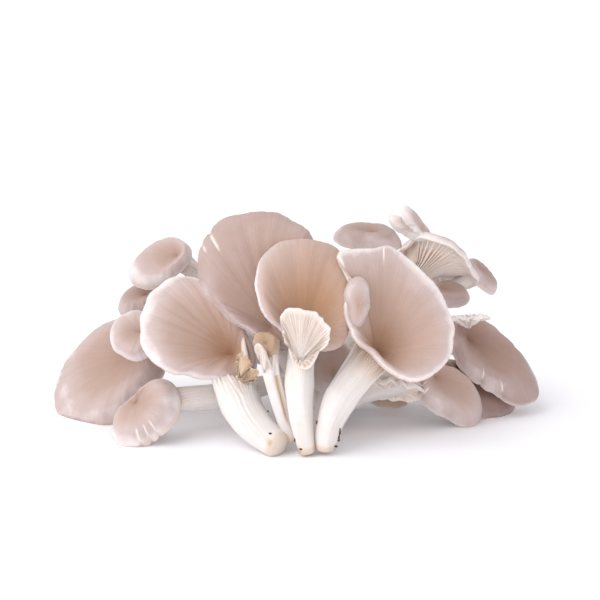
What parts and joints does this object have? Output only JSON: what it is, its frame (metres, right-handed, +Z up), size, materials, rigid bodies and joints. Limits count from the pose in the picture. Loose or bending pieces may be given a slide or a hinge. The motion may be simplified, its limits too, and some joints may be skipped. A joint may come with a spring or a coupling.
{
  "type": "oyster mushroom cluster",
  "caption": "Cluster of oyster mushrooms: funnel and fan caps with gilled undersides on pale stems that spread from one cut butt.",
  "frame": {"origin": "middle of the cluster's base, on the surface it stands on", "axes": "+X to the right along the cluster's width, +Y to the back, +Z up"},
  "size_m": [0.2562, 0.1254, 0.112],
  "materials": {
    "cap_flesh": "soft matte mushroom skin, greyish beige",
    "young_cap_flesh": "matte mushroom skin, olive tan",
    "shaded_cap_flesh": "soft matte mushroom skin, darker beige",
    "butt_flesh": "matte white flesh"
  },
  "bodies": {
    "root": {"front_left_mushroom": "cap_flesh", "front_middle_mushroom": "cap_flesh", "front_right_mushroom": "cap_flesh", "butt": "butt_flesh", "tall_back_mushroom": "cap_flesh", "front_bud": "young_cap_flesh", "left_large_mushroom": "cap_flesh", "left_low_mushroom": "cap_flesh", "left_small_middle_mushroom": "cap_flesh", "left_small_upper_mushroom": "cap_flesh", "left_top_mushroom": "cap_flesh", "top_middle_mushroom": "cap_flesh", "top_right_mushroom": "cap_flesh", "top_right_side_mushroom": "cap_flesh", "top_right_lower_mushroom": "cap_flesh", "middle_behind_mushroom": "cap_flesh", "right_large_mushroom": "cap_flesh", "right_lower_mushroom": "cap_flesh", "right_behind_mushroom": "cap_flesh", "right_floor_mushroom": "young_cap_flesh", "hidden_left_mushroom": "shaded_cap_flesh", "hidden_right_mushroom": "shaded_cap_flesh", "hidden_small_mushroom": "shaded_cap_flesh"}
  },
  "joints": []
}
